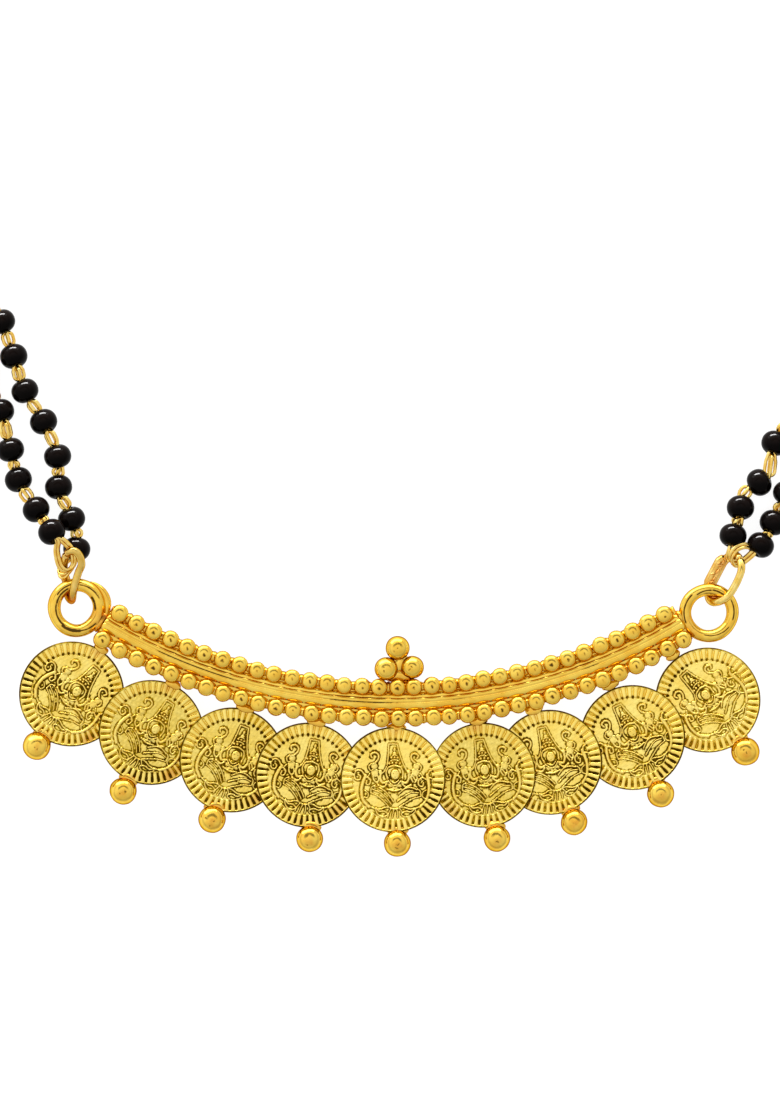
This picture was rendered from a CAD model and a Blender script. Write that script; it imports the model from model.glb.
from math import copysign, cos, degrees, pi, radians, sin
import bpy
import bmesh
import numpy as np
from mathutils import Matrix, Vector


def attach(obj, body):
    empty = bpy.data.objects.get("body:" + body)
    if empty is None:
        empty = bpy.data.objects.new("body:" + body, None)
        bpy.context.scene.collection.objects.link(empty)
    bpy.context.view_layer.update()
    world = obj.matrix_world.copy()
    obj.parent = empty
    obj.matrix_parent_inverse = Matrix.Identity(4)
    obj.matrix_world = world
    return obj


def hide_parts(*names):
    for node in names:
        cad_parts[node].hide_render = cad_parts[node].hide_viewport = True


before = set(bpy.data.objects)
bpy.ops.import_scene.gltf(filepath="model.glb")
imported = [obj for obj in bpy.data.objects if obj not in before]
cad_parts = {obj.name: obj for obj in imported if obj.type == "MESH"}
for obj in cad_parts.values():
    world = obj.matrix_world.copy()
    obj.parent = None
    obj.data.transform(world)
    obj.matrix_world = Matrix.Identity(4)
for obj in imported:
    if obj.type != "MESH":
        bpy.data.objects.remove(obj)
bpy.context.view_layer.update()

print("frame loaded:", sorted(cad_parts))

mm = 0.001    # sizes below are in millimetres, the scene is in metres
arcY = -15.0  # the bar, its coins and its balls lie on arcs round this point
zAxis = np.array([0, 0, 1.0])
# what each point carries: orange solder, dark patina in a hollow, even brown toning
stainNames = ("solder", "patina", "toning")
rng = np.random.default_rng(31)


def srgb(hexCode):
    # sRGB hex to linear
    parts = [int(hexCode[i:i + 2], 16) / 255 for i in (1, 3, 5)]
    return tuple(c / 12.92 if c <= 0.04045 else ((c + 0.055) / 1.055) ** 2.4 for c in parts) + (1.0,)


def unit(v):
    v = np.asarray(v, float)
    return v / max(np.linalg.norm(v), 1e-9)


def ease(x):
    x = np.clip(x, 0, 1)
    return x * x * (3 - 2 * x)


def onArc(angle, radius, z):
    # angle from the bottom of the arcs, positive to the right
    a = radians(angle)
    return np.array([radius * sin(a), arcY - radius * cos(a), z])


def arcAxes(angle):
    # along the arc, and away from the neck
    a = radians(angle)
    return np.array([cos(a), sin(a), 0]), np.array([sin(a), -cos(a), 0])


def circle(turn, radius):
    # a level circle; its radius may vary on the way
    return np.stack([np.cos(turn), np.sin(turn), 0 * turn], 1) * np.reshape(radius, (-1, 1))


def fullTurn(steps):
    return np.linspace(0, 2 * pi, steps, endpoint=False)


def smoothLine(points, steps, closed=False):
    # Catmull-Rom through the points
    p = np.asarray(points, float)
    p = np.vstack([p[-1], p, p[:2]] if closed else [2 * p[0] - p[1], p, 2 * p[-1] - p[-2]])
    out = []
    for a, b, c, d in zip(p, p[1:], p[2:], p[3:]):
        for t in np.linspace(0, 1, steps, endpoint=False):
            curve = (2 * a - 5 * b + 4 * c - d) * t ** 2 + (3 * b - a - 3 * c + d) * t ** 3
            out.append(0.5 * (2 * b + (c - a) * t + curve))
    return np.array(out if closed else out + [p[-2]])


def lumps(points, size, strength, seed):
    # slow wobble of a hand-made surface, as a few crossed waves
    r = np.random.default_rng(seed)
    total = np.zeros(len(points))
    for _ in range(5):
        wave = unit(r.normal(size=3)) * 2 * pi / size * r.uniform(0.7, 1.5)
        total += np.sin(points @ wave + r.uniform(0, 6.3))
    return total * strength / 3


def stain(points, solder=0.0, patina=0.0, toning=0.0):
    return np.stack([np.broadcast_to(v, len(points)) for v in (solder, patina, toning)], 1)


def sideOf(axis):
    return unit(np.cross(zAxis if abs(axis[2]) < 0.9 else [1.0, 0, 0], axis))


def tube(path, radii, sides, closed=False, tint=0.0):
    # a round wire along a path, twisted as little as can be
    path = np.asarray(path, float)
    n = len(path)
    tangents = np.roll(path, -1, 0) - np.roll(path, 1, 0)
    if not closed:
        tangents[0], tangents[-1] = path[1] - path[0], path[-1] - path[-2]
    tangents = [unit(t) for t in tangents]
    side = sideOf(tangents[0])
    turn = fullTurn(sides)
    points = []
    for centre, tangent, radius in zip(path, tangents, np.broadcast_to(radii, (n,))):
        side = unit(side - tangent * (side @ tangent))
        up = np.cross(tangent, side)
        points.append(centre + radius * (np.outer(np.cos(turn), side) + np.outer(np.sin(turn), up)))
    faces = []
    for i in range(n if closed else n - 1):
        j = (i + 1) % n
        for k in range(sides):
            m = (k + 1) % sides
            faces.append((i * sides + k, i * sides + m, j * sides + m, j * sides + k))
    if not closed:
        faces += [tuple(range(sides))[::-1], tuple(range((n - 1) * sides, n * sides))]
    points = np.vstack(points)
    return points, faces, stain(points, tint)


def turned(profile, sides, centre, axis, tint=0.0):
    # a lathe shape from (radius, height) pairs; a radius of 0 closes an end
    axis = unit(axis)
    side = sideOf(axis)
    up = np.cross(axis, side)
    points, starts = [], []
    for r, h in profile:
        starts.append(len(points))
        for a in (fullTurn(sides) if r > 0 else [0.0]):
            points.append(centre + axis * h + r * (cos(a) * side + sin(a) * up))
    if profile[0] == profile[-1]:  # it runs back to its start
        points = points[:starts[-1]]
        starts[-1] = 0
    faces = []
    for i in range(len(profile) - 1):
        a, b = starts[i], starts[i + 1]
        for k in range(sides):
            m = (k + 1) % sides
            if profile[i][0] == 0:
                faces.append((b + k, b + m, a))
            elif profile[i + 1][0] == 0:
                faces.append((a + k, a + m, b))
            else:
                faces.append((a + k, a + m, b + m, b + k))
    return np.array(points), faces, stain(points, tint)


def ball(centre, radius, seed, wobble, level=3):
    # an icosphere with the slow wobble of melted metal
    bm = bmesh.new()
    bmesh.ops.create_icosphere(bm, subdivisions=level, radius=1.0)
    normals = np.array([v.co[:] for v in bm.verts])
    faces = [tuple(v.index for v in f.verts) for f in bm.faces]
    bm.free()
    reach = radius * (1 + lumps(normals, 1.6, wobble, seed) + lumps(normals, 0.5, wobble * 0.3, seed + 7))
    return centre + normals * reach[:, None], faces, normals


def puddle(centre, size, turn, seed, tint, patina=0.0):
    # a flattened blob of run solder, wider than high
    points, faces, _ = ball(np.zeros(3), 1.0, seed, 0.12)
    c, s = cos(radians(turn)), sin(radians(turn))
    return centre + points * size @ np.array([[c, s, 0], [-s, c, 0], zAxis]), faces, stain(points, tint, patina)


def newObject(name, data):
    made = bpy.data.objects.new(name, data)
    bpy.context.scene.collection.objects.link(made)
    return made


def makePiece(pieceName, shapes, material, node="pendant"):
    # joins shapes into one piece; each is its points, its faces and the stains of each point
    points, tints = [np.vstack([shape[k] for shape in shapes]) for k in (0, 2)]
    faces, start = [], 0
    for shape in shapes:
        faces += [tuple(i + start for i in face) for face in shape[1]]
        start += len(shape[0])
    mesh = bpy.data.meshes.new(pieceName)
    mesh.from_pydata((points * mm).tolist(), [], faces, shade_flat=False)
    for column, stainName in enumerate(stainNames):
        layer = mesh.attributes.new(stainName, "FLOAT", "POINT")
        layer.data.foreach_set("value", tints[:, column].astype(np.float32))
    mesh.materials.append(material)
    mesh.update()
    piece = newObject(pieceName, mesh)
    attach(piece, "root")
    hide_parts(node)


# straight above, framed as the photo is
view = {
    "middle": (-0.32, -58.66), "height": 520.0,  # mm, of the camera
    "tall": 118.6, "beads": 1.5,  # mm from the frame's top to its bottom, at this height of the beads' middle
}
camera = newObject("camera", bpy.data.cameras.new("camera"))
camera.location = [v * mm for v in (*view["middle"], view["height"])]
camera.data.lens = camera.data.sensor_width * (view["height"] - view["beads"]) / view["tall"]
camera.data.clip_start = 0.01
camera.data.clip_end = 20
bpy.context.scene.camera = camera
bpy.context.scene.view_settings.view_transform = "Standard"  # keeps the gold's strong yellow


def addNode(owner, kind, inputs=(), out=0, **settings):
    # inputs in order or by socket: plain values, or what addNode returns for a link, a node and its output
    tree = owner.node_tree
    node = tree.nodes.new("ShaderNode" + kind)
    for key, value in settings.items():
        setattr(node, key, value)
    for key, value in (inputs.items() if isinstance(inputs, dict) else enumerate(inputs)):
        if isinstance(value, tuple) and isinstance(value[0], bpy.types.Node):
            tree.links.new(value[0].outputs[value[1]], node.inputs[key])
        else:
            node.inputs[key].default_value = value
    return node, out


def newMaterial(name):
    material = bpy.data.materials.new(name)
    material.use_nodes = True
    material.node_tree.nodes.clear()
    return material, addNode(material, "TexCoord", out="Object")


def platedMetal(name, look):
    # gold plate over brass: a coloured mirror, broken up by polish, by solder under thin plate and by patina
    material, place = newMaterial(name)
    solder, patina, toning = [addNode(material, "Attribute", out="Fac", attribute_name=s) for s in stainNames]
    blotch, speck, polish = [
        addNode(material, "TexNoise", {"Vector": place, "Scale": 1 / (look[pattern] * mm), "Detail": detail,
                                       "Roughness": rough})
        for pattern, detail, rough in (("blotch", 3.0, 0.6), ("speck", 2.0, 0.6), ("polish", 2.0, 0.5))]
    broken = addNode(material, "Math", (speck, 0.7, patina), operation="MULTIPLY_ADD")
    # source, from, to: of warmer plate, the solder's spread, the film round the patina, the patina, roughness
    warmer, spread, film, depth, rough = [addNode(material, "MapRange", row) for row in (
        (blotch, 0.35, 0.65, 0.0, 1.0), (blotch, 0.35, 0.65, 0.5, 1.25), (broken, 0.55, 0.85, 0.0, 0.9),
        (broken, 0.7, 1.08, 0.0, 0.94), (polish, 0.3, 0.7, *look["rough"]))]
    run = addNode(material, "Math", (solder, spread), operation="MULTIPLY", use_clamp=True)
    colour = srgb(look["plate"])
    for share, layer in ((warmer, "plateWarm"), (toning, "toned"), (run, "solder"), (film, "film"),
                         (depth, "patina")):
        colour = addNode(material, "Mix", {0: share, 6: colour, 7: srgb(look[layer])}, 2, data_type="RGBA")
    for share, duller in ((run, 0.1), (depth, 0.3)):
        rough = addNode(material, "Math", (share, duller, rough), operation="MULTIPLY_ADD")
    bump = addNode(material, "Bump", {"Height": polish, "Strength": look["bump"],
                                      "Distance": look["polish"] * mm * 0.12})
    shader = addNode(material, "BsdfPrincipled", {"Base Color": colour, "Roughness": rough, "Normal": bump,
                                                  "Metallic": 1.0, "Specular Tint": srgb(edgeColour)})
    addNode(material, "OutputMaterial", [shader])
    return material


edgeColour = "#A8763A"  # how the gold mirror darkens where the metal turns away
# Cast and burnished gold plate on the bar, granules, balls and rings: warm yellow, nearly a mirror
burnishedGold = platedMetal("burnished_gold_plate", {
    "plate": "#EDCA58", "plateWarm": "#E4B440", "toned": "#B98A2E", "solder": "#D08030", "patina": "#3E2A0E",
    "film": "#D2A036",  # thin polish round the patina
    "blotch": 1.6,      # mm, cloudiness left by hand polishing
    "speck": 0.35,      # mm, crumbs of patina
    "polish": 0.35,     # mm, drawn coarser than real polish so that it shows
    "rough": (0.06, 0.12), "bump": 0.3,
})
# Struck sheet on the coins: the die leaves it paler, matter and crisper
struckGold = platedMetal("struck_gold_plate", {
    "plate": "#FAE27E", "plateWarm": "#F2D162", "toned": "#AE9124", "solder": "#C98034", "patina": "#462E00",
    "film": "#D4B000", "blotch": 2.2, "speck": 0.3, "polish": 0.3, "rough": (0.16, 0.26), "bump": 0.25,
})
# Drawn and plated wire of the bead eyes and jump links: bright and pale, with soft streaks
drawnWire = platedMetal("drawn_gold_wire", {
    "plate": "#F4DC86", "plateWarm": "#E6BE54", "toned": "#B98A2E", "solder": "#C86A30", "patina": "#3A2410",
    "film": "#D2A44C", "blotch": 0.9, "speck": 0.25, "polish": 0.2, "rough": (0.08, 0.16), "bump": 0.3,
})

# Fire-polished black seed beads: opaque glass whose gloss carries the whole shape
glass = {
    "colour": "#020202", "warmColour": "#080403",
    "cloud": 1.3,  # mm, the slight brown clouding inside a bead
    "ripple": 0.8, "bump": 0.15, "deep": 0.03,  # mm, strength, mm: ripples left by the fire polish
    "rough": (0.06, 0.12), "gloss": 0.035,
}
blackGlass, place = newMaterial("black_bead_glass")
cloud, ripple = [
    addNode(blackGlass, "TexNoise", {"Vector": place, "Scale": 1 / (glass[pattern] * mm), "Detail": detail})
    for pattern, detail in (("cloud", 2.0), ("ripple", 1.0))]
colour = addNode(blackGlass, "Mix", {0: cloud, 6: srgb(glass["colour"]), 7: srgb(glass["warmColour"])}, 2,
                 data_type="RGBA")
haze = addNode(blackGlass, "MapRange", (cloud, 0.3, 0.7, *glass["rough"]))
bump = addNode(blackGlass, "Bump", {"Height": ripple, "Strength": glass["bump"], "Distance": glass["deep"] * mm})
shader = addNode(blackGlass, "BsdfPrincipled", {"Base Color": colour, "Roughness": haze, "Normal": bump,
                                                "IOR": 1.52, "Specular IOR Level": glass["gloss"]})
addNode(blackGlass, "OutputMaterial", [shader])


coin = {
    "radius": 5.62, "thickness": 0.5,
    "field": 0.12,  # the field lies this far below the rim
    "grid": 164,    # cells across; one cell is 0.068 mm
    "tilt": 2.9,    # degrees that a coin dips to slip under the next one towards the middle
    "figure": 1.3,  # how far the figure stands out
    "crisp": 0.8,   # how deep its outlines are cut
    # the border, in shares of the radius: where it starts, its ribs from and to, where the plain rim starts
    "border": 0.758, "ribFrom": 0.795, "ribTo": 0.935, "rim": 0.955,
    "ribs": 48, "ribWide": 0.36, "ribHigh": 0.13, "ribDeep": 0.05,  # count, share of their pitch, mm, mm
    # punched gaps between the ribs: middle, half length, strength at the coin's lower and upper side
    "gaps": ((0.768, 0.036, 0.3, 1.0), (0.89, 0.07, 0.8, 0.2)), "gapWide": 0.028, "gapDeep": 0.13,
}
# angle and distance from the arcs' centre, height of its middle, extra turn of the die, how far its field is
# toned, how dark its hollows are, and the bearings where polish has built up in them (0 is right, 90 the clasp)
coinTable = [
    (-30.39, 67.98, 1.55, 14, 0.15, 0.95, (15, 150)), (-22.41, 67.89, 1.55, 10, 0.45, 0.95, (265,)),
    (-14.71, 67.93, 1.55, 6.5, 0.3, 1, (60, 300)), (-7.72, 67.94, 1.55, 4, 0.15, 1.15, (150, 285)),
    (0, 67.8, 1.75, 0, 0, 0.95, (330, 135)), (8.16, 68.02, 1.55, 1.6, 0.4, 1.05, ()),
    (14.28, 68.05, 1.55, 1.4, 0.1, 1, (345, 150)), (22.05, 68.3, 1.55, -4, 0.1, 0.95, (150, 330)),
    (29.61, 68.2, 1.55, -13, 0.05, 0.88, (150,)),
]
# The figure, in hundredths of the coin's radius: seated under a tall arch, on a lotus, with an attendant and
# a scrolled stem on each side. Each row is a stroke's width, its height in mm, then its lines as x, y, x, y
strokes = [
    # arch
    (1.7, 0.1, [-8, 68, -9, 48, -11, 30, -16, 17, -25, 7, -24, -3], [8, 68, 13, 48, 20, 29, 28, 15, 38, 6,
     43, -2], [-8, 68, 8, 68]),
    # crown and its side locks
    (1.8, 0.13, [-8, 24, 3, 27, 15, 24]),
    (1.5, 0.13, [-4, 36, 3, 38, 10, 36]),
    (1.4, 0.13, [-1, 46, 3, 47, 7, 46]),
    (1.6, 0.12, [-10, 22, -13, 14, -11, 4], [16, 22, 19, 14, 18, 4]),
    # garlands and girdle
    (1.5, 0.17, [-9, -2, -3, -9, 3, -11, 9, -9, 15, -2]),
    (1.3, 0.17, [-5, -1, 3, -6, 11, -1]),
    (1.8, 0.15, [-11, -18, 3, -21, 16, -18]),
    # raised and lowered arms
    (2.8, 0.14, [-11, -4, -19, -6, -24, 2, -24, 8], [17, -4, 25, -6, 30, 2, 30, 8]),
    (2.6, 0.13, [-12, -8, -19, -14, -26, -11], [18, -8, 25, -14, 32, -11]),
    # folds over the crossed legs
    (1.5, 0.16, [-36, -12, -22, -17, -9, -28, 1, -42], [46, -19, 34, -15, 22, -17, 10, -27]),
    (1.3, 0.15, [-39, -18, -25, -24, -12, -35, -3, -47], [49, -25, 36, -24, 22, -31, 8, -41]),
    (1.3, 0.14, [-42, -25, -29, -31, -16, -42, -7, -53], [52, -32, 38, -36, 24, -44, 12, -52]),
    (1.4, 0.12, [-42, -25, -41, -15, -34, -10], [53, -31, 52, -22, 46, -17]),
    # lotus seat: side petals, a fan in the middle, and the rim of the seat
    (1.5, 0.13, [-32, -54, -26, -60, -16, -60, -10, -66, -18, -70, -27, -67, -32, -60, -32, -54], [42, -55,
     34, -61, 24, -60, 16, -66, 24, -71, 34, -68, 42, -61, 42, -55]),
    (1.3, 0.13, [-4, -55, -8, -63, -10, -71], [2, -56, 0, -64, -2, -73], [7, -56, 9, -64, 9, -72], [12, -54,
     17, -61, 16, -66]),
    (1.4, 0.12, [-45, -50, -34, -55, -24, -56, -12, -52, 4, -56, 18, -52, 32, -56, 44, -54, 54, -50]),
    (1.4, 0.11, [-38, -64, -22, -74, 0, -77, 24, -75, 40, -66]),
    # scrolled stems
    (3.6, 0.17, [-52, 8, -57, -4, -60, -20, -57, -38, -46, -51], [65, 9, 68, -6, 68, -23, 63, -40, 52, -52]),
    (1.9, 0.14, [-54, 9, -60, 17, -69, 18, -74, 10, -71, 1, -64, 0, -62, 7, -66, 10], [66, 9, 70, 17, 76, 12,
     75, 3, 70, 4]),
    (1.8, 0.14, [-55, 2, -49, 5, -43, 0, -45, -9, -51, -8, -50, -2], [64, 0, 56, 4, 49, -1, 49, -10, 56, -13,
     58, -6]),
    (1.3, 0.1, [-54, -20, -47, -26, -49, -34, -55, -33], [63, -20, 57, -24, 56, -32, 61, -36]),
    # attendants at the shoulders, trunks lifted
    (2.3, 0.14, [-33, 33, -28, 40, -28, 48, -35, 52, -42, 48, -40, 42], [42, 32, 36, 38, 35, 46, 41, 50, 48, 46,
     46, 41]),
    (1.4, 0.13, [-41, 31, -46, 25, -43, 18, -38, 19], [50, 30, 54, 24, 51, 17, 46, 19]),
    (2.0, 0.12, [-38, 6, -36, -1, -31, -5], [-29, 8, -27, 1, -30, -6], [45, 8, 46, 1, 42, -5], [36, 10, 34, 4,
     38, -4]),
    (1.3, 0.11, [-44, 12, -48, 4, -43, -2], [52, 12, 56, 6, 53, -1]),
]
# Rounded bosses, and punched or undercut pits: half sizes, height or depth in mm, then the middles as x, y
bosses = [
    (8.6, 10.5, 0.2, 4, 10), (14, 9.5, 0.12, 4, -9), (11, 8, 0.1, 4, -16), (2.8, 4.5, 0.12, 3, 57),
    (4.2, 3, 0.12, 3, 50), (2.6, 2.6, 0.13, -3, 42, 9, 42), (2.6, 2.6, 0.14, 3, 42.5),
    (2.7, 2.7, 0.13, -7, 31, 13, 31), (2.7, 2.7, 0.14, -1, 32, 6, 32), (2.4, 3.4, 0.13, -10, 3, 18, 3),
    (4.4, 5.2, 0.13, -24, 14, 30, 14), (3.2, 3, 0.15, -28, -10, 34, -10), (6.8, 7.4, 0.14, -36, 26),
    (6.6, 7.2, 0.14, 45, 25), (8.2, 8.4, 0.12, -34, 13), (8, 8, 0.12, 42, 14), (17, 9, 0.07, -22, -27),
    (18, 8, 0.07, 30, -27), (8, 9, 0.06, 2, -34),
]
pits = [
    (2, 1, 0.05, 1, 12.5, 7.4, 12.5), (2.2, 0.9, 0.05, 4.2, 4.6), (1.6, 1.2, 0.1, 0, 37, 7, 37),
    (5, 1.4, 0.1, 3, 21), (2, 1.6, 0.1, -13, 27), (2.2, 1.2, 0.1, -6, -6.5, 14, -7),
    (2.6, 1.8, 0.12, -17, -9.5, 23, -9.5), (3, 1.4, 0.12, -3, -15, 10, -15), (4, 1.4, 0.12, -30, -14),
    (2, 2.2, 0.1, -18, 5, 24, 6), (2.4, 1.6, 0.1, -14, -65), (3, 1.6, 0.1, 22, -65), (1.2, 2.6, 0.1, 4, -60),
    (1.6, 1.6, 0.08, -38, 36, 46, 35), (1.8, 1.8, 0.1, -68, 9, 52, -5),
]


def ovals(u, v, rows):
    # each spot's height, and its shape from 1 at its middle to 0 at its edge
    for a, b, high, *spots in rows:
        for x, y in np.reshape(spots, (-1, 2)):
            yield high, np.clip(1 - np.hypot((u * 100 - x) / a, (v * 100 - y) / b) ** 2, 0, 1)


def coinRelief(u, v):
    # height over the field in mm, how dark it is, and what lies inside the border; u and v run from -1 to 1
    height, body = np.zeros(u.shape), np.zeros(u.shape)
    for width, high, *lines in strokes:
        for line in lines:
            line = smoothLine(np.reshape(line, (-1, 2)), 4) / 100
            near = np.full(u.shape, 9.0)
            for (x0, y0), (x1, y1) in zip(line, line[1:]):
                dx, dy = x1 - x0, y1 - y0
                t = np.clip(((u - x0) * dx + (v - y0) * dy) / (dx * dx + dy * dy + 1e-12), 0, 1)
                near = np.minimum(near, np.hypot(u - x0 - t * dx, v - y0 - t * dy))
            height = np.maximum(height, high * np.sqrt(np.clip(1 - (near * 100 / width) ** 2, 0, 1)))
    for high, spot in ovals(u, v, bosses):
        body = np.maximum(body, high * np.sqrt(spot))
    height = np.maximum(height, body) + 0.3 * np.minimum(height, body)
    for deep, spot in ovals(u, v, pits):
        height -= deep * spot

    # border: ribs with arched ends, gaps punched deeper at one end, then the plain rim
    rho, bearing = np.hypot(u, v), np.arctan2(u, v)
    pitch = 2 * pi / coin["ribs"]
    phase = (bearing / pitch + 0.5) % 1 - 0.5
    along = rho - np.clip(rho, coin["ribFrom"], coin["ribTo"])
    far = np.hypot(phase * pitch * rho, along) / (coin["ribWide"] * pitch * np.maximum(rho, 0.001))
    rib = coin["ribHigh"] * np.sqrt(np.clip(1 - far ** 2, 0, 1))
    border = ease((rho - coin["border"]) / 0.02) * (rho < coin["rim"] + 0.01)
    height = np.maximum(height * coin["figure"] * (1 - border), rib) - coin["ribDeep"] * border * (rib <= 0)
    gap = np.abs(np.abs(phase) - 0.5) * pitch * rho / coin["gapWide"]
    upper = ease((v + 0.3) / 0.6)
    uneven = 0.8 + 0.2 * np.sin(2.4 * np.floor(bearing / pitch + 0.5 + np.sign(phase) * 0.5))  # from gap to gap
    dark = border * np.clip(1 - rib / 0.09, 0, 1) * (0.25 + 0.3 * (1 - upper))
    for at, long, below, above in coin["gaps"]:
        pit = np.clip(1.25 - np.hypot(gap, (rho - at) / long) ** 2, 0, 1)
        pit = pit * (below + (above - below) * upper) * uneven
        height -= coin["gapDeep"] * pit
        dark = np.maximum(dark, pit)
    rim = ease((rho - coin["rim"]) / 0.012)
    height = height * (1 - rim) + coin["field"] * rim - 0.10 * ease((rho - 0.98) / 0.02) ** 2
    outline = (0.84 + 0.14 * np.sin(3 * bearing + 1.0)) * ease((rho - 0.966) / 0.014)
    return height, np.maximum(dark * (1 - rim), outline), ease((coin["border"] - 0.003 - rho) / 0.02)


def coinMesh():
    # a square grid wrapped on to the disc, for even cells from its middle to its rim
    size = coin["grid"] + 1
    a, b = np.meshgrid(np.linspace(-1, 1, size), np.linspace(-1, 1, size))
    wide = np.abs(a) >= np.abs(b)
    radius = np.where(wide, a, b)
    low = np.where(radius == 0, 1, radius)
    turn = np.where(wide, (pi / 4) * b / low, pi / 2 - (pi / 4) * a / low)
    u, v = radius * np.cos(turn), radius * np.sin(turn)
    height, dark, inner = coinRelief(u, v)
    spots = np.stack([u, v, 0 * u], -1).reshape(-1, 3) * coin["radius"]
    height += inner * (lumps(spots, 0.55, 0.012, 41) + lumps(spots, 0.3, 0.007, 42)).reshape(u.shape)  # a worn die
    soft = height
    for _ in range(6):
        edge = np.pad(soft, 1, mode="edge")
        soft = (edge[1:-1, 1:-1] * 2 + edge[:-2, 1:-1] + edge[2:, 1:-1] + edge[1:-1, :-2] + edge[1:-1, 2:]) / 6
    crease = soft - height  # how far a point lies in a crease
    hollow = np.maximum(dark, 0.74 * inner * np.clip((crease - 0.0035) / 0.018, 0, 1))
    flat = ease((0.02 - height) / 0.03) * inner  # the open field
    height = height - coin["crisp"] * crease * inner
    points = spots + np.outer(coin["thickness"] / 2 - coin["field"] + height, zAxis)
    index = np.arange(size * size).reshape(size, size)
    faces = np.stack([index[:-1, :-1], index[:-1, 1:], index[1:, 1:], index[1:, :-1]], -1).reshape(-1, 4).tolist()
    ring = np.concatenate([index[0, :-1], index[:-1, -1], index[-1, :0:-1], index[:0:-1, 0]]).tolist()
    base, m = len(points), len(ring)
    back = points[ring] * [1, 1, 0] - zAxis * coin["thickness"] / 2
    points = np.vstack([points, back + [0, 0, 0.06], back * [0.985, 0.985, 1]])
    for i in range(m):
        j = (i + 1) % m
        faces.append((ring[j], ring[i], base + i, base + j))
        faces.append((base + j, base + i, base + m + i, base + m + j))
    faces.append(tuple(range(base + m, base + 2 * m))[::-1])
    return points, faces, np.append(hollow, np.zeros(2 * m)), np.append(flat, np.zeros(2 * m))


coinPoints, coinFaces, coinHollow, coinFlat = coinMesh()
for index, (angle, arc, z, spin, tone, dirt, bearings) in enumerate(coinTable):
    along, outward = arcAxes(angle)
    lean, s = radians(coin["tilt"]) * np.sign(angle), radians(spin)
    across = along * cos(lean) + zAxis * sin(lean)
    upward = zAxis * cos(lean) - along * sin(lean)
    right = across * cos(s) + outward * sin(s)
    ahead = across * sin(s) - outward * cos(s)
    points = coinPoints @ np.array([right, ahead, upward])
    bearing = np.degrees(np.arctan2(points[:, 1], points[:, 0]))
    built = sum(ease(1.25 - np.abs((bearing - at + 180) % 360 - 180) / 34) for at in bearings)
    hollow = np.clip(coinHollow * dirt * (0.93 + 0.95 * built), 0, 1)
    # stained plate, however the die is turned, towards the bar, the coin's ball and the coin it slips under
    u, v = (coinPoints[:, :2] @ np.array([[cos(s), -sin(s)], [sin(s), cos(s)]]) / coin["radius"]).T
    solder = 0
    inner = -np.sign(angle)
    for x, y, size, strength in ((0, 1, 0.2, 0.45), (0, -1, 0.16, 0.4),
                                 (0.72 * inner, -0.62, 0.22, 0.6 * abs(inner))):
        solder = np.maximum(solder, strength * ease(1.25 - np.hypot(u - x, v - y) / size))
    solder = solder * (0.75 + 0.25 * np.sin(u * 9 + angle))
    stains = stain(points, solder, hollow, tone * (0.35 + 0.65 * coinFlat))
    makePiece("coin_%d" % (index + 1), [(points + onArc(angle, arc, z), coinFaces, stains)], struckGold)
print("coins:", len(coinTable), "with", len(coinFaces), "faces each")


bar = {
    "arc": 59.5, "top": 2.05,  # of the raised wire, and of the strip below it
    "halfAngle": 31.3, "rowAngle": 30.4,    # degrees: half the strip, half a row of granules
    # outlines: further out than the arc, above the strip's top, solder, patina
    "strip": [(-1.82, -0.9, 0.1, 0), (-1.9, -0.8, 0.1, 0), (-1.9, -0.1, 0.2, 0), (-1.82, 0, 0.1, 0),
              (-0.8, 0, 0.15, 0.1), (-0.7, -0.02, 0.15, 0.1), (0, -0.02, 0.3, 0), (0.72, -0.02, 0.5, 0.5),
              (0.82, 0, 0.45, 0.4), (1.2, 0, 0.3, 0.3), (2.12, 0, 0.2, 0), (2.2, -0.1, 0.2, 0),
              (2.2, -0.8, 0.1, 0), (2.12, -0.9, 0.1, 0)],
    # a flattened half-round between two low lands; a bright shoulder and a drawn line towards the neck
    "wire": [(-1.04, -0.05, 0.1, 0), (-0.97, 0.08, 0.05, 0), (-0.52, 0.34, 0.05, 0.2), (-0.45, 0.29, 0.4, 0.8),
             (-0.4, 0.44, 0.1, 0.3), (-0.36, 0.5, 0, 0), (-0.18, 0.535, 0, 0), (-0.04, 0.54, 0, 0.1),
             (0.01, 0.49, 0.3, 0.8), (0.09, 0.49, 0.3, 0.8), (0.14, 0.56, 0, 0.2), (0.26, 0.575, 0, 0),
             (0.43, 0.55, 0, 0), (0.6, 0.5, 0, 0), (0.74, 0.42, 0.05, 0), (0.84, 0.34, 0.2, 0.15),
             (0.89, 0.29, 0.4, 0.6), (0.96, 0.31, 0.15, 0.15), (1.38, 0.25, 0.15, 0), (1.43, -0.05, 0.2, 0)],
}


def arcStrip(outline, halfAngle, steps, seed, wobble):
    # sweeps an outline along the bar; patina stays in a few patches
    outline = np.array(outline) + [bar["arc"], bar["top"], 0, 0]
    k = len(outline)
    points = np.array([onArc(angle, r, z) for angle in np.linspace(-halfAngle, halfAngle, steps)
                       for r, z in outline[:, :2]])
    points[:, 2] += lumps(points, 5.0, wobble, seed)
    x = points[:, 0]
    patch = 0.75 + 0.45 * np.sin(x * 0.55 + 1.3) * np.sin(x * 0.21)
    shade = np.maximum(ease(lumps(points, 7.0, 1.0, seed + 1) * 1.2), ease(1.4 - np.abs(x + 3.4) / 4.2))
    faces = [(i * k + j, (i + 1) * k + j, (i + 1) * k + (j + 1) % k, i * k + (j + 1) % k)
             for i in range(steps - 1) for j in range(k)]
    faces += [tuple(range(k)), tuple(range((steps - 1) * k, steps * k))[::-1]]
    solder, patina = np.tile(outline[:, 2:], (steps, 1)).T
    return points, faces, stain(points, np.clip(solder * patch, 0, 1), patina * shade)


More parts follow.
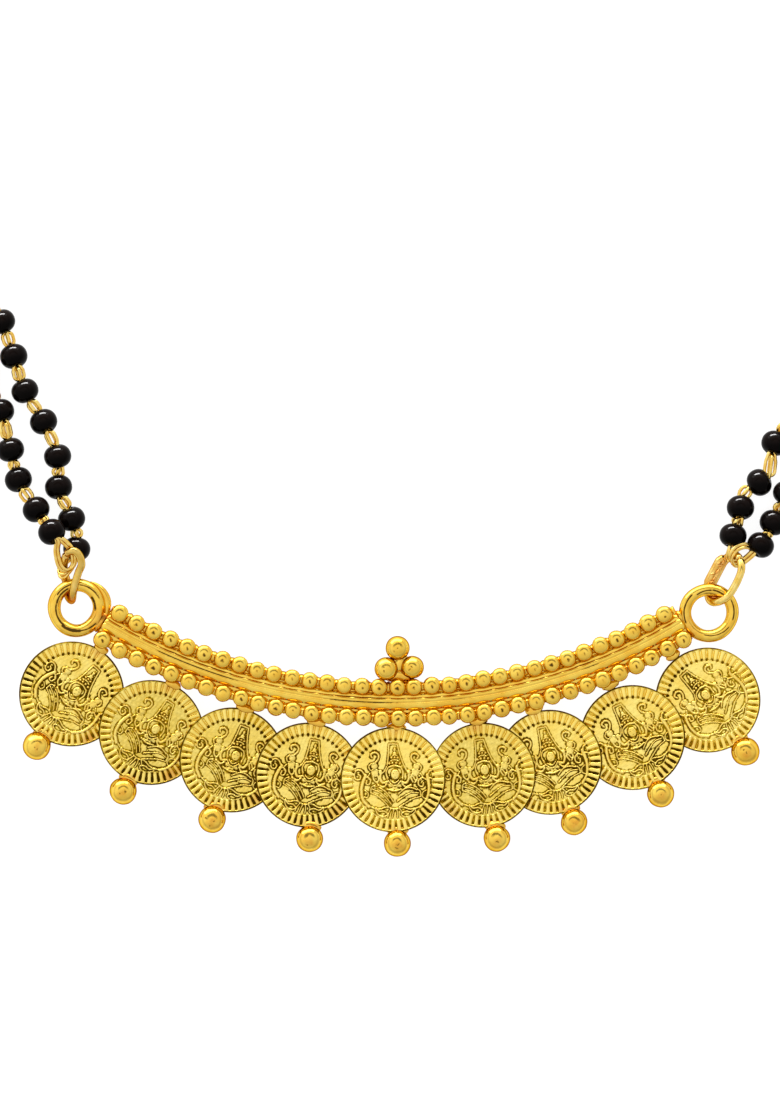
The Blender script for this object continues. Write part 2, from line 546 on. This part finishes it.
makePiece("bar_strip", [arcStrip(bar["strip"], bar["halfAngle"], 120, 3, 0.02)], burnishedGold)
makePiece("bar_wire", [arcStrip(bar["wire"], bar["halfAngle"] - 0.1, 200, 5, 0.012)], burnishedGold)


granules = {
    # arc, count, height, radius at the middle and the ends, slip along the row at its left end, its middle
    # and its right end, which way the wire lies, seed
    "granules_inner": (57.9, 33, 2.4, (0.92, 0.96), (0.15, 0.43, -0.4), 1, 100),
    "granules_outer": (61.27, 35, 2.35, (0.93, 0.95), (0.0, 0.6, 0.0), -1, 200),
}
granuleTop = 0.62  # share of their curve that the burnisher left the granules' tops


def flatten(points, centre, radius, share):
    # lowers the curve of a ball's top and fills out its flanks, at the same height over all
    rise = points[:, 2] - centre[2]
    points[:, 2] = centre[2] + radius * (1 - share) + rise * np.where(rise > 0, share, 2 - share)
    return points


for name, (arc, count, z, radii, (left, middle, right), toWire, seed) in granules.items():
    shapes = []
    for i, t in enumerate(np.linspace(-1, 1, count)):
        slip = middle * (1 - t * t) + (right if t > 0 else left) * t * t
        angle = bar["rowAngle"] * (0.972 * t + 0.028 * t ** 3) + degrees(slip / arc) + rng.normal() * 0.04
        along, outward = arcAxes(angle)
        size = (radii[0] + (radii[1] - radii[0]) * t * t) * (1 + rng.normal() * 0.015)
        centre = onArc(angle, arc + rng.normal() * 0.04, z + rng.normal() * 0.03)
        points, faces, normals = ball(centre, size, seed + i, 0.02)
        beside = np.abs(normals @ along)
        behind = normals @ (outward * toWire)
        solder = (ease((beside - 0.85) / 0.15) * 0.2 + ease((behind - 0.5) / 0.5) * 0.3
                  + ease((-normals[:, 2] - 0.1) / 0.5) * 0.2)
        # a crumb of patina in the small dimple that each granule cooled with
        dimple = unit([0.05 * rng.normal(), -0.13 + 0.04 * rng.normal(), 1.0])
        pit = ease((normals @ dimple - 0.968) / 0.022) * rng.uniform(0.35, 1.0)
        crease = ease((beside - 0.9) / 0.1) + ease((behind - 0.86) / 0.12)
        points = flatten(points - normals * (0.03 * pit)[:, None], centre, size, granuleTop)
        stains = stain(points, np.clip(solder * rng.uniform(0.5, 1.15), 0, 1), np.clip(pit + 0.25 * crease, 0, 1))
        shapes.append((points, faces, stains))
    # the solder that has run along the row
    angles = np.linspace(-bar["rowAngle"], bar["rowAngle"], count * 6)
    width = 0.52 + 0.07 * np.sin(angles * 9.0) + 0.05 * np.sin(angles * 23.0)
    shapes.append(tube([onArc(a, arc, z - 0.3) for a in angles], width, 10, tint=0.15))
    makePiece(name, shapes, burnishedGold)
print("bar and granules:", " + ".join(str(row[1]) for row in granules.values()))


trefoil = {
    "balls": [(0.5, -68.7, 1.29), (-0.72, -70.92, 1.26), (2.08, -70.75, 1.22)],  # x, y, radius
    "z": 2.4, "heart": (0.7, -70.1, 1.8),  # the point where the three meet
    "webs": [((0.66, -70.3, 2.3), (1.1, 1.05, 0.6)), ((0.7, -71.7, 2.1), (1.75, 0.75, 0.6))],
}
drops = {
    # angle and distance from the arcs' centre, and radius
    "balls": [(-30.7, 74.66, 1.5), (-22.7, 74.82, 1.46), (-15.04, 74.6, 1.47), (-6.87, 74.67, 1.44),
              (0.36, 74.6, 1.45), (8.53, 74.93, 1.43), (15, 74.88, 1.44), (22.45, 75, 1.46),
              (30.2, 74.97, 1.51)],
    "collar": (1.1, 0.72, 0.5),
}
ballTop = 0.84  # as for the granules


def filedBall(centre, radius, seeds, wobble, marks, size, cut):
    # a ball with scratches and punch marks near its top, where it was held and filed, and dull flanks
    points, faces, normals = ball(centre, radius, seeds[0], wobble, 4)
    r = np.random.default_rng(seeds[1])
    marked = np.zeros(len(normals))
    for _ in range(marks):
        middle = unit([r.normal() * 0.2, -0.08 + r.normal() * 0.18, 1.0])
        way = unit([r.normal(), r.normal(), 0])
        along = (normals - middle) @ way
        across = np.linalg.norm(normals - middle - np.outer(along, way), axis=1)
        length = size * r.uniform(0.6, 1.6)
        marked = np.maximum(marked, ease(1.4 - np.hypot(along / length, across / (size * 0.45))))
    points = flatten(points - normals * (cut * marked)[:, None], centre, radius, ballTop)
    return points, faces, normals, marked, 0.8 * ease((0.5 - normals[:, 2]) / 0.25)


shapes = []
for i, (x, y, r) in enumerate(trefoil["balls"]):
    centre = np.array([x, y, trefoil["z"]])
    points, faces, normals, marked, dulled = filedBall(centre, r, (300 + i, 305 + i), 0.012, 3, 0.13, 0.03)
    solder = ease((normals @ unit(trefoil["heart"] - centre) - 0.55) / 0.45) * 0.5
    shapes.append((points, faces, stain(points, solder, 0.8 * marked, dulled)))
for i, (middle, size) in enumerate(trefoil["webs"]):
    shapes.append(puddle(middle, size, 0, 310 + i, 0.2))
makePiece("trefoil", shapes, burnishedGold)

for i, (angle, arc, r) in enumerate(drops["balls"]):
    seeds = (320 + i, 330 + i)
    points, faces, normals, marked, dulled = filedBall(onArc(angle, arc, r), r, seeds, 0.02, 3 + i % 3, 0.11, 0.04)
    solder = ease((-(normals @ arcAxes(angle)[1]) - 0.62) / 0.4) * 0.4
    solder += 0.12 * ease(lumps(normals, 1.1, 1.0, 335 + i))
    cloud = np.linalg.norm(normals[:, :2] - [0.05, -0.12], axis=1) + lumps(normals, 0.5, 0.12, 345 + i)
    stains = stain(points, np.maximum(solder, 0.4 * ease(1.5 - cloud / 0.3)), 0.7 * marked, dulled)
    collar = puddle(onArc(angle, arc - 1.3, 1.42), drops["collar"], angle, 340 + i, 0.3)
    makePiece("drop_%d" % (i + 1), [(points, faces, stains), collar], burnishedGold)

shapes = []
for i, (angle, *_) in enumerate(coinTable):
    # the two end coins are held a little nearer to the middle
    angle, wide = (angle * 0.968, 0.85) if i in (0, len(coinTable) - 1) else (angle, 1.0)
    shapes.append(puddle(onArc(angle + rng.normal() * 0.3, 62.2, 1.65), (wide, 0.5, 0.34), angle, 360 + i, 0.25))
makePiece("coin_solder", shapes, burnishedGold)
print("balls:", len(drops["balls"]) + len(trefoil["balls"]))


# angle and distance from the arcs' centre, the ring's radius and its wire's, then the dark lines left by draw
# plate and polish: from and to (degrees), distance off the wire's middle at each end, half width, depth
endRings = {
    "end_ring_left": (-34.41, 59.88, 2.43, 0.69, [
        (92, 150, 0.12, 0.02, 0.09, 1), (108, 172, -0.22, -0.3, 0.1, 1), (164, 244, -0.28, -0.14, 0.1, 1),
        (226, 286, -0.04, 0.06, 0.19, 1), (270, 326, 0.02, 0.25, 0.1, 0.9), (18, 88, 0.22, 0.02, 0.1, 0.85),
        (-14, 40, -0.4, -0.46, 0.15, 0.8)]),
    "end_ring_right": (34.08, 60.3, 2.51, 0.66, [
        (44, 84, -0.05, -0.05, 0.11, 1), (80, 128, -0.08, -0.2, 0.08, 0.95), (126, 208, 0.14, 0.2, 0.09, 1),
        (-22, 34, 0.1, 0.2, 0.085, 1), (250, 330, -0.12, 0.1, 0.07, 0.8), (60, 110, -0.48, -0.42, 0.12, 0.5)]),
}
ringZ = 1.8
for name, (angle, arc, radius, wire, lines) in endRings.items():
    side = 1 if angle > 0 else -1
    centre = onArc(angle, arc, ringZ)
    turn = fullTurn(160)
    wave = 1 + 0.012 * np.sin(2 * turn + side) + 0.008 * np.sin(3 * turn)
    path = centre + circle(turn, radius * wave)
    points, faces, _ = tube(path, wire * (1 + 0.02 * np.sin(5 * turn + side)), 72, closed=True)
    points[:, 2] += lumps(points, 2.2, 0.016, 370 + side)
    x, y, _ = (points - centre).T
    off = np.hypot(x, y) - radius
    bearing = np.degrees(np.arctan2(y, x))
    line = np.zeros(len(points))
    for begin, finish, off0, off1, half, depth in lines:
        t = (bearing - begin) % 360 / (finish - begin)
        edge = ease(np.minimum(t, 1 - t) / 0.12) * (t < 1)
        line = np.maximum(line, depth * edge * ease(1.4 - np.abs(off - off0 - (off1 - off0) * t) / half))
    joint = onArc(side * (bar["halfAngle"] + 0.25), arc - 0.1, 1.85)
    far = np.linalg.norm(points - joint, axis=1)
    line = line * (points[:, 2] > ringZ) * (0.8 + 0.2 * ease(lumps(points, 1.2, 1.3, 375 + side) + 0.5))
    points[:, 2] -= 0.03 * line
    stains = stain(points, np.clip(ease(1.3 - far / 1.6) * 0.5 + 0.35 * line, 0, 1),
                   np.clip(1.05 * line + 0.4 * ease(1.2 - far / 0.9), 0, 1))
    if side < 0:
        # a crescent of sheet hugs the ring where the strip's end was folded up against it
        swell = np.sin(np.linspace(0.5, pi, 30))
        hug = centre + circle(np.radians(np.linspace(-14, 62, 30)), radius + wire + 0.22 * swell)
        lug = tube(hug, 0.06 + 0.36 * swell, 16, tint=0.15)
    else:
        lug = puddle(onArc(31.35, 59.0, 1.95), (0.45, 0.75, 0.45), 32, 380, 0.15)
    seam = puddle(joint, (0.55, 1.15, 0.5), side * 31, 384 + side, 0.75, 0.25)
    makePiece(name, [(points, faces, stains), seam, lug], burnishedGold)
print("end rings:", len(endRings))


jumpLink = {
    "wire": 0.41, "underWire": 0.47,  # the wire is thicker where its under leg was bent twice and soldered
    # the left link: bottom first, then up over the ring and back down behind it
    "left": [(-34.35, -63.6, 1.9), (-34.15, -62.75, 2.75), (-33.9, -61.7, 3), (-33.55, -60.6, 3.1),
             (-33.22, -59.8, 3.4), (-33.4, -58.9, 3.7), (-33.95, -58.32, 3.9), (-34.62, -58.5, 3.6),
             (-35, -59.05, 2.95), (-35.15, -59.75, 2.2), (-35.25, -60.6, 1.45), (-35, -61.6, 0.75),
             (-34.95, -62.4, 0.55), (-34.75, -63.2, 0.95)],
    # the right link: a leaning oval whose upper leg bows out
    "length": 5.6, "width": 3.2, "bow": 0.42, "middle": (35.45, -61.3, 1.8), "lean": -58, "turn": 62.4,
}


def rightLinkLine(start, cut=0.0):
    # centre line of the oval, from just past its cut all the way round to it
    s, r = (jumpLink["length"] - jumpLink["width"]) / 2, jumpLink["width"] / 2
    half = 2 * s + pi * r
    d = np.linspace(start + cut, start + 2 * half, 120)
    a = np.maximum(d % half - 2 * s, 0) / r - pi / 2
    sign = np.where(d % (2 * half) < half, 1, -1)
    x = sign * (np.minimum(d % half, 2 * s) - s + r * np.cos(a))
    y = sign * r * np.sin(a)
    bow = np.clip(-y / r, 0, 1) * np.clip(1 - (x / (s + r)) ** 2, 0, 1) * jumpLink["bow"]
    lean = radians(jumpLink["lean"])
    longWay = circle(np.radians([jumpLink["turn"]]), 1)[0]
    sideways = np.cross(longWay, zAxis)
    shortWay = zAxis * sin(lean) - sideways * cos(lean)
    return jumpLink["middle"] + np.outer(x, longWay) + np.outer(y, shortWay) + np.outer(bow, sideways)


def linkShape(line, worn, toning):
    under = ease((2.2 - line[:, 2]) / 1.2)
    wire = jumpLink["wire"] + (jumpLink["underWire"] - jumpLink["wire"]) * under
    wire[[0, -1]] *= 0.85  # the cut ends are slightly rounded
    line[:, 2] = np.maximum(line[:, 2], wire + 0.01)
    points, faces, _ = tube(line, wire, 18)
    points += unit([1, 1, 0.5]) * lumps(points, 1.1, 0.012, 395)[:, None]
    reach = np.minimum(*[np.linalg.norm(points - end, axis=1) for end in (line[0], line[-1])])
    worn = ease(1.3 - np.linalg.norm(points - worn, axis=1) / 0.8)
    low = ease((2.0 - points[:, 2]) / 1.0)
    return points, faces, stain(points, np.clip(ease(1.2 - reach / 0.7) * 0.35 + worn * 0.8 + low * 0.4, 0, 1),
                                ease(1.1 - reach / 0.35) * 0.5 + 0.25 * worn, toning)


leftLine = smoothLine(jumpLink["left"], 8, closed=True)
leftLine = np.roll(leftLine, -60, axis=0)[:-1]  # the cut lies where the strands hide it
rightLine = rightLinkLine(3.95, 0.14)
makePiece("jump_link_left_wire", [linkShape(leftLine.copy(), (-34.3, -63.55, 2.2), 0.45)], drawnWire,
          node="jump_link_left")
shapes = [linkShape(rightLine.copy(), (34.9, -63.4, 1.9), 0.1)]
# the right link's end laps beside its under leg, and crumbs of solder have run over both
t = np.linspace(0, 1, 38)
lap = rightLinkLine(6.1)[:38] + np.outer(np.clip(1.5 * np.sin(pi * t), 0, 1), [-0.42, 0.22, 0.12])
shapes.append(tube(lap, 0.45 * np.clip(np.sin(pi * t) * 2.4, 0.5, 1), 16, tint=0.3))
for i, share in enumerate(np.linspace(0.22, 0.8, 9)):
    k = i % 3
    spot = lap[int(share * 37)] + [0.22 + 0.17 * (-1) ** i, 0.1 * (k - 1) - 0.11, 0.36 - 0.03 * (i % 4)]
    shapes.append(puddle(spot, (0.28 + 0.03 * k, 0.16, 0.16), 62 - 25 * k, 400 + i, 0.55, 0.3 * (i % 2)))
shapes.append(puddle((34.5, -63.33, 1.5), (0.62, 0.3, 0.34), -12, 410, 0.9, 0.25))
makePiece("jump_link_right_wire", shapes, drawnWire, node="jump_link_right")
print("jump links: 2")


bead = {"radius": 1.5, "half": 1.26, "hole": 0.42, "pitch": 4.2, "sides": 28}
eye = {"wire": 0.19, "half": 0.56, "overlap": 0.85, "sides": 10}  # both eyes cross this share of the gap
clasp = {
    "y": 88.0, "z": 1.8, "radius": 1.8, "length": 9.0, "bevel": 0.6, "band": 0.9,
    "eyeX": 5.9, "eyeRadius": 1.35, "eyeWire": 0.4,
}
strands = {
    "strand_left_inner": {
        # how far each bead that the photo shows nods; below 0 the end towards the pendant faces up
        "nods": (-0.1, 0.25, -0.3, 0.2, -0.32, 0.1, -0.28, 0.2, -0.25),
        # the beads lie on the table where the route gives no height
        "route": [(-33.85, -58.1), (-34.4, -54.9), (-35.8, -51.5), (-35.9, -48.2), (-37.4, -44.5), (-39.4, -41.2),
                  (-40.6, -37.5), (-41.9, -33.8), (-44, -30), (-46, -20.5), (-52, -9), (-57.5, 3), (-54, 17),
                  (-59, 31), (-58.5, 45), (-50, 56.5), (-46.5, 69), (-36, 78.5), (-23, 82), (-10.5, 86.2)],
        "hook": (-35.25, -60.5, 1.5),
    },
    "strand_left_outer": {
        "nods": (-0.3, -0.1, -0.28, 0.15, -0.3, 0.1),
        "route": [(-36.4, -56.3, 3.35), (-38.15, -53.9, 2.2), (-40.1, -50.7), (-40.95, -47.5), (-42, -43.4),
                  (-43.9, -39.6), (-47.8, -30.5), (-53, -17), (-60, -4), (-64, 10), (-64.5, 24), (-65, 38),
                  (-62.5, 52), (-56.5, 65.5), (-47.5, 77), (-35, 84.5), (-22.5, 89), (-10.5, 89.8)],
        "loop": [(-35.5, -57.2, 3.35), (-35, -57.65, 3.2), (-34.6, -58.1, 3.08), (-34.35, -58.6, 3.05),
                 (-34.2, -59.3, 2.85), (-34.3, -59.9, 2.6), (-34.7, -60.35, 2.45), (-35.25, -60.45, 2.45),
                 (-35.7, -60, 2.6), (-35.95, -59.2, 2.8), (-36.05, -58.3, 3), (-35.95, -57.5, 3.3)],
        "second": (0.32, 0.16, 0.14),  # how far its second turn lies from the first
    },
    "strand_right_inner": {
        "nods": (-0.35, -0.38, 0.15, -0.3, 0.1),
        "turns": (-4, 22, -34, 6, 0),  # degrees that a bead has turned out of line with its neighbours
        "route": [(36.4, -56.7), (37.2, -53.7), (39.2, -51), (40.9, -46.8), (43, -43.2), (44.2, -34), (47, -20),
                  (54.5, -8), (56, 5.5), (60.5, 18.5), (56, 32), (59.5, 45), (51, 56), (49, 70), (36, 77),
                  (23, 82), (10.5, 86.2)],
        "hook": (36.35, -58.8, 1.2),
    },
    "strand_right_outer": {
        "nods": (-0.25, -0.32, 0.1, -0.25),
        "route": [(39.35, -57.7), (40.7, -55.3), (42.1, -52.2), (44.8, -48.9), (48, -40), (51.5, -25), (59, -12),
                  (63, 1), (65, 15), (63, 29), (64, 43), (60.5, 57), (54, 70.5), (43, 81), (27.5, 87),
                  (10.5, 89.8)],
        "loop": [(38.7, -58.3, 1.55), (38, -57.95, 1.8), (37.3, -58, 2.15), (36.7, -58.35, 2.35),
                 (36.3, -58.95, 2.25), (36.3, -59.55, 1.95), (36.7, -59.95, 1.7), (37.35, -59.75, 1.55),
                 (38.1, -59.2, 1.5), (38.75, -58.6, 1.5)],
        "second": (-0.22, 0.34, 0.1),
    },
}


def beadPlaces(data):
    # the beads that the photo shows, then even spacing along the rest of the route with a slack chain's zigzag
    route = np.array([(*p, bead["radius"])[:3] for p in data["route"]], float)
    shown = len(data["nods"])
    places, rest = list(route[:shown]), route[shown - 1:]
    lengths = np.linalg.norm(np.diff(rest, axis=0), axis=1)
    total = lengths.sum()
    count = int(round(total / bead["pitch"]))
    marks = np.append(0, np.cumsum(lengths))
    for i in range(1, count + 1):
        at = total * i / count
        behind, p, ahead = [np.array([np.interp(d, marks, column) for column in rest.T])
                            for d in (at - 1, at, at + 1)]
        if 2 < i < count - 1:
            p += unit(np.cross(zAxis, ahead - behind)) * np.clip(rng.normal() * 0.22, -0.4, 0.4)
        places.append(p)
    return np.array(places)


places = {name: beadPlaces(data) for name, data in strands.items()}
owners = [(name, i) for name in strands for i in range(len(places[name]))]
for _ in range(40):
    # beads of neighbouring strands push each other apart; those that the photo shows stay put
    flat = np.vstack([places[name] for name in strands])
    gaps = flat[:, None, :] - flat[None, :, :]
    far = np.linalg.norm(gaps, axis=2) + np.eye(len(flat)) * 9
    for a, b in zip(*np.where(far < 2 * bead["radius"] + 0.06)):
        name, i = owners[a]
        if len(strands[name]["nods"]) < i < len(places[name]) - 1:
            push = gaps[a, b] / far[a, b] * (2 * bead["radius"] + 0.08 - far[a, b]) * 0.5
            places[name][i][:2] += push[:2]

# a pressed seed bead: a fat ring with rounded ends that dip to a moulded hole
beadProfile = []
for t in np.linspace(-76, 76, 13):
    c, s = cos(radians(t)), sin(radians(t))
    beadProfile.append((bead["radius"] * (0.1 + 0.9 * c ** 0.92), bead["half"] * copysign(abs(s) ** 0.95, s)))
beadProfile += [(bead["hole"], bead["half"] * 0.84), (bead["hole"], -bead["half"] * 0.84), beadProfile[0]]


def hairpin(start, axis, tip, side, half):
    # one eye: both legs come out over the bead's end and meet in a round turn about the tip
    reach = np.linalg.norm(tip - start)
    direction = unit(tip - start)
    side = unit(side - direction * (side @ direction))
    half = min(half, max(reach * 1.15, 0.48))
    legs = []
    for s in (side, -side):
        leg = [start - axis * 0.6 + s * 0.16, start + s * min(half, 0.3)]
        if reach > 0.7:
            leg.append(start + direction * reach * 0.5 + s * half * 0.97)
        legs.append(leg)
    turn = np.radians(np.linspace(90, -90, 11))
    bow = [tip + direction * half * 0.9 * cos(a) + side * half * sin(a) for a in turn]
    return tube(legs[0] + bow + legs[1][::-1], eye["wire"], eye["sides"], tint=0.1)


for name, data in strands.items():
    right = 1 if "right" in name else -1
    spots = places[name]
    n = len(spots)
    claspMiddle = np.array([right * clasp["eyeX"], clasp["y"], clasp["z"]])
    claspHook = claspMiddle - unit((claspMiddle - spots[-1]) * [1, 1, 0]) * clasp["eyeRadius"]
    front = np.mean([data["loop"][0], data["loop"][-1]], axis=0) if "loop" in data else np.array(data["hook"])
    line = np.vstack([front, spots, claspHook])
    axes = []
    for i, (before, spot, after) in enumerate(zip(line, line[1:], line[2:])):
        axis = unit(unit(after - spot) + unit(spot - before))
        if i < len(data["nods"]):
            t = radians(data["turns"][i]) if "turns" in data else 0
            x, y, z = axis
            c, s = cos(t), sin(t)
            axis = unit([x * c - y * s, x * s + y * c, z + data["nods"][i]])
        elif i < n - 1:
            axis = unit(axis + rng.normal(size=3) * [0.07, 0.07, 0.03])
        axes.append(axis)
    shapes = []
    for spot, axis in zip(spots, axes):
        size = rng.uniform(0.985, 1.0)
        profile = [(r * size if r > bead["hole"] + 0.01 else r, h * size) for r, h in beadProfile]
        shapes.append(turned(profile, bead["sides"], spot, axis))
    makePiece(name + "_beads", shapes, blackGlass, name)
    wires = []
    mouths = np.array(axes) * bead["half"] * 0.9
    fronts, backs = spots - mouths, spots + mouths
    for i in range(n - 1):
        a, b = backs[i], fronts[i + 1]
        toward = unit(b - a)
        reach = max(np.linalg.norm(b - a) * (1 + eye["overlap"]) / 2 - eye["half"] * 0.9, 0.12)
        level = unit(np.cross(zAxis, toward))
        tilt = rng.uniform(-0.5, 0.5) + (pi / 2 if rng.random() < 0.5 else 0)
        side = level * cos(tilt) + np.cross(toward, level) * sin(tilt)
        wires.append(hairpin(a, axes[i], a + toward * reach, side, eye["half"]))
        wires.append(hairpin(b, -axes[i + 1], b - toward * reach, np.cross(toward, side), eye["half"]))
    # first eye, round the jump link
    if "loop" in data:
        hole = spots[0] - axes[0] * 0.6
        for shift in ([0, 0, 0], data["second"]):
            path = smoothLine(np.vstack([hole, np.array(data["loop"]) + shift, hole]), 3)
            wires.append(tube(path, eye["wire"] * 1.1, eye["sides"], tint=0.12))
    else:
        link = leftLine if right < 0 else rightLine
        i = int(np.argmin(np.linalg.norm(link - data["hook"], axis=1)))
        along = unit(link[(i + 1) % len(link)] - link[i - 1])
        side = np.cross(along, link[i] - fronts[0])
        for shift in (-0.22, 0.22):
            half = jumpLink["wire"] + eye["wire"] + 0.03
            wires.append(hairpin(fronts[0], -axes[0], link[i] + along * shift, side, half))
    # last eye, round the clasp's eye
    wires.append(hairpin(backs[-1], axes[-1], claspHook, zAxis, clasp["eyeWire"] + eye["wire"] + 0.02))
    makePiece(name + "_wire", wires, drawnWire, name)
print("beads:", len(owners))


end, r, bevel = clasp["length"] / 2, clasp["radius"], clasp["bevel"]
corner = [(r - bevel * (1 - sin(t)), -end + bevel * (1 - cos(t))) for t in np.radians(np.linspace(0, 90, 5))]
profile = [(0, -end)] + corner
for x, wide in ((-end + bevel + clasp["band"], 0.16), (-0.12, 0.24), (end - bevel - clasp["band"], 0.16)):
    profile += [(r, x), (r - 0.1, x + wide * 0.3), (r - 0.1, x + wide * 0.7), (r, x + wide)]
profile += [(q, -h) for q, h in corner[::-1]] + [(0, end)]
middle = np.array([0, clasp["y"], clasp["z"]])
shapes = [turned(profile, 40, middle, [1, 0, 0], 0.05)]
for side in (-1, 1):
    ring = middle + [side * clasp["eyeX"], 0, 0] + circle(fullTurn(40), clasp["eyeRadius"])
    shapes.append(tube(ring, clasp["eyeWire"], 14, closed=True, tint=0.1))
    shapes.append(puddle(middle + [side * (end + 0.02), 0, 0], (0.35, 0.7, 0.6), 0, 400 + side, 0.6))
makePiece("clasp_barrel", shapes, burnishedGold, node="clasp")
print("clasp: 1")


light = {
    "table": "#7C7C7B", "glow": 0.9, "grain": 25.0,  # mm; the sheet's own grain is too fine to show
    # how bright the white studio is by height, as the cosine from straight up, and the dark gap above the softbox
    "heights": [(0.0, 1.2), (0.12, 1.2), (0.24, 0.88), (0.38, 0.9), (0.5, 1.15), (0.72, 1.15), (0.9, 1.18),
                (1.0, 1.18)],
    "gap": [(0.0, 1.0), (0.70, 1.0), (0.76, 0.3), (0.86, 0.3), (0.90, 1.0)],
    "sides": (0.88, 1.1), "ends": (0.72, 1.2),  # right to left, and from the coins' side to the clasp's side
    "backdrop": 1.0,
    "aim": (0.0, -0.06, 0.0),
    # place and size in metres, radiance; the tube shines on the glass beads alone
    "lamps": {"key_softbox": ((-0.12, 0.55, 0.17), (1.1, 0.30), 4.0),
              "tube_light": ((-0.09, 0.52, 0.10), (0.42, 0.12), 210.0)},
}
# Opal acrylic light table, lit from inside: white, with only a trace of shadow left under things
opalAcrylic, place = newMaterial("opal_acrylic_light_table")
grain = addNode(opalAcrylic, "TexNoise", {"Vector": place, "Scale": 1 / (light["grain"] * mm), "Detail": 2.0})
rough = addNode(opalAcrylic, "MapRange", (grain, 0.0, 1.0, 0.5, 0.6))
shader = addNode(opalAcrylic, "BsdfPrincipled", {
    "Roughness": rough, "Base Color": srgb(light["table"]), "IOR": 1.49,
    "Emission Color": srgb("#FFFFFF"), "Emission Strength": light["glow"]})
addNode(opalAcrylic, "OutputMaterial", [shader])
mesh = bpy.data.meshes.new("table")
mesh.from_pydata([(-3, -3, 0), (3, -3, 0), (3, 3, 0), (-3, 3, 0)], [], [(0, 1, 2, 3)])
mesh.materials.append(opalAcrylic)
table = newObject("table", mesh)

world = bpy.data.worlds.new("studio")
bpy.context.scene.world = world
world.use_nodes = True
world.node_tree.nodes.clear()
sky = addNode(world, "SeparateXYZ", [addNode(world, "TexCoord", out="Generated")])[0]
ramps = []
for stops in (light["heights"], light["gap"]):
    ramps.append(addNode(world, "ValToRGB", [(sky, 2)]))
    elements = ramps[-1][0].color_ramp.elements
    while len(elements) < len(stops):
        elements.new(0.5)
    for element, (at, level) in zip(elements, stops):
        element.position = at
        element.color = (level, level, level, 1)
behind, sides, ends = [addNode(world, "MapRange", row) for row in (
    ((sky, 1), 0.06, 0.4, 0.0, 1.0), ((sky, 0), 0.8, -0.8, *light["sides"]), ((sky, 1), -0.8, 0.8, *light["ends"]))]
gap = addNode(world, "Mix", {0: behind, 6: (1, 1, 1, 1), 7: ramps[1]}, 2, data_type="RGBA")
colour = addNode(world, "Mix", {0: 1.0, 6: ramps[0], 7: gap}, 2, data_type="RGBA", blend_type="MULTIPLY")
studio = addNode(world, "Background", (colour, addNode(world, "Math", (sides, ends), operation="MULTIPLY")))
backdrop = addNode(world, "Background", ((1, 1, 1, 1), light["backdrop"]))
seen = addNode(world, "MixShader", (addNode(world, "LightPath", out="Is Camera Ray"), studio, backdrop))
addNode(world, "OutputWorld", [seen])

for name, (place, (wide, tall), radiance) in light["lamps"].items():
    lamp = newObject(name, bpy.data.lights.new(name, "AREA"))
    lamp.data.shape = "RECTANGLE"
    lamp.data.size, lamp.data.size_y = wide, tall
    lamp.data.energy = radiance * pi * wide * tall
    lamp.location = place
    lamp.rotation_mode = "QUATERNION"
    lamp.rotation_quaternion = (Vector(light["aim"]) - Vector(place)).to_track_quat("-Z", "Y")
glassOnly = bpy.data.collections.new("glass_beads")
for name in strands:
    glassOnly.objects.link(bpy.data.objects[name + "_beads"])
bpy.data.objects["tube_light"].light_linking.receiver_collection = glassOnly
print("table and light")
